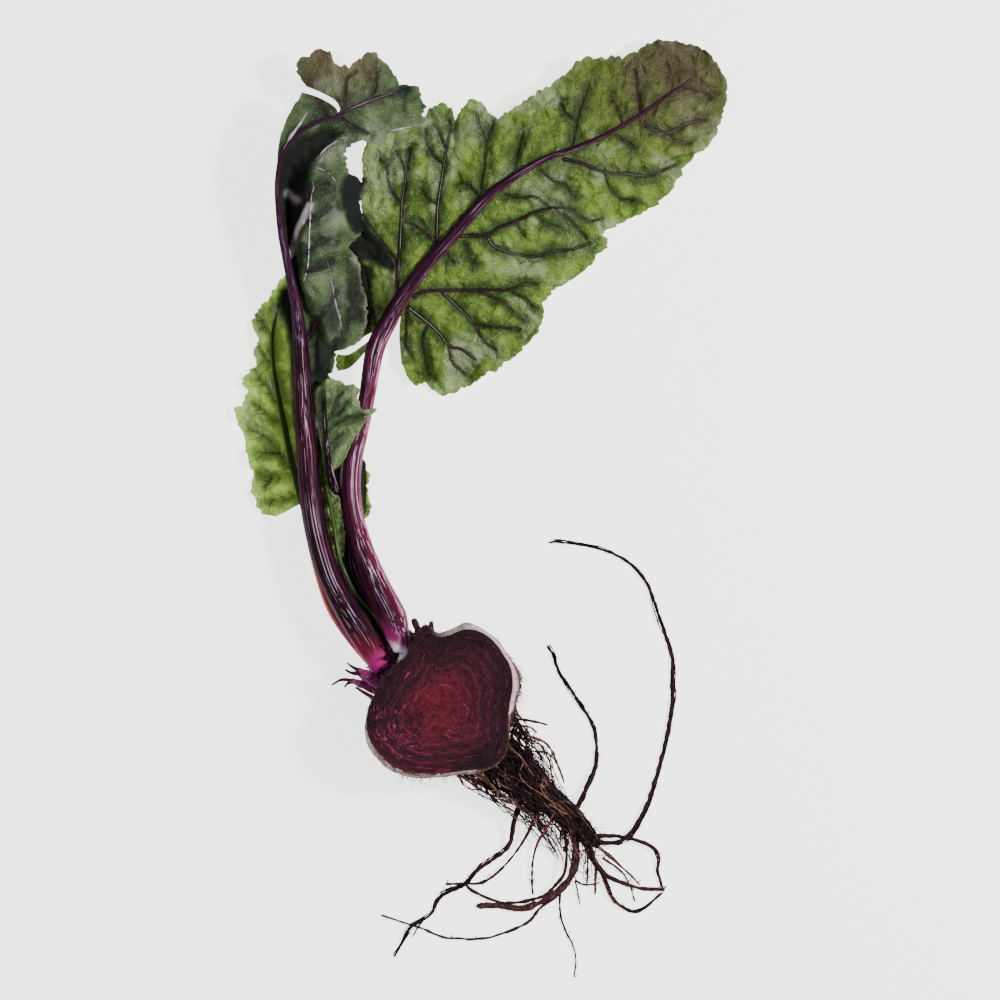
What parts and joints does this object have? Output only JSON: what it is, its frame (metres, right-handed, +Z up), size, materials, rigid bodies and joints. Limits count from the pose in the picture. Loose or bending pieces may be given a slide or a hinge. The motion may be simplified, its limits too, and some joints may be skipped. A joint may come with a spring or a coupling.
{
  "type": "halved beetroot with leaves",
  "caption": "Beetroot cut in half lengthwise, lying cut face up, with crown, purple leaf stalks, crinkled green leaves and a hairy root tail.",
  "frame": {"origin": "middle of the flat spot the bulb rests on, under the middle of the cut face", "axes": "+Z up out of the cut face, +Y towards the leaves, +X towards the side the large leaf leans to"},
  "size_m": [0.1966, 0.3743, 0.031],
  "materials": {
    "beet_flesh": "satin",
    "root_skin": "matte",
    "purple_stalk": "satin",
    "red_stalk": "satin",
    "green_stalk": "satin",
    "leaf_green": "satin",
    "leaf_dark_green": "satin",
    "leaf_light_green": "satin"
  },
  "bodies": {
    "root": {"bulb": "beet_flesh", "root_tail": "root_skin", "large_leaf_stalk": "purple_stalk", "large_leaf_blade": "leaf_green", "long_leaf_stalk": "purple_stalk", "long_leaf_blade": "leaf_dark_green", "side_leaf_stalk": "red_stalk", "side_leaf_blade": "leaf_green", "small_leaf_stalk": "purple_stalk", "small_leaf_blade": "leaf_dark_green", "young_leaf_stalk": "green_stalk", "young_leaf_blade": "leaf_light_green", "back_leaf_stalk": "purple_stalk", "back_leaf_blade": "leaf_green"}
  },
  "joints": []
}
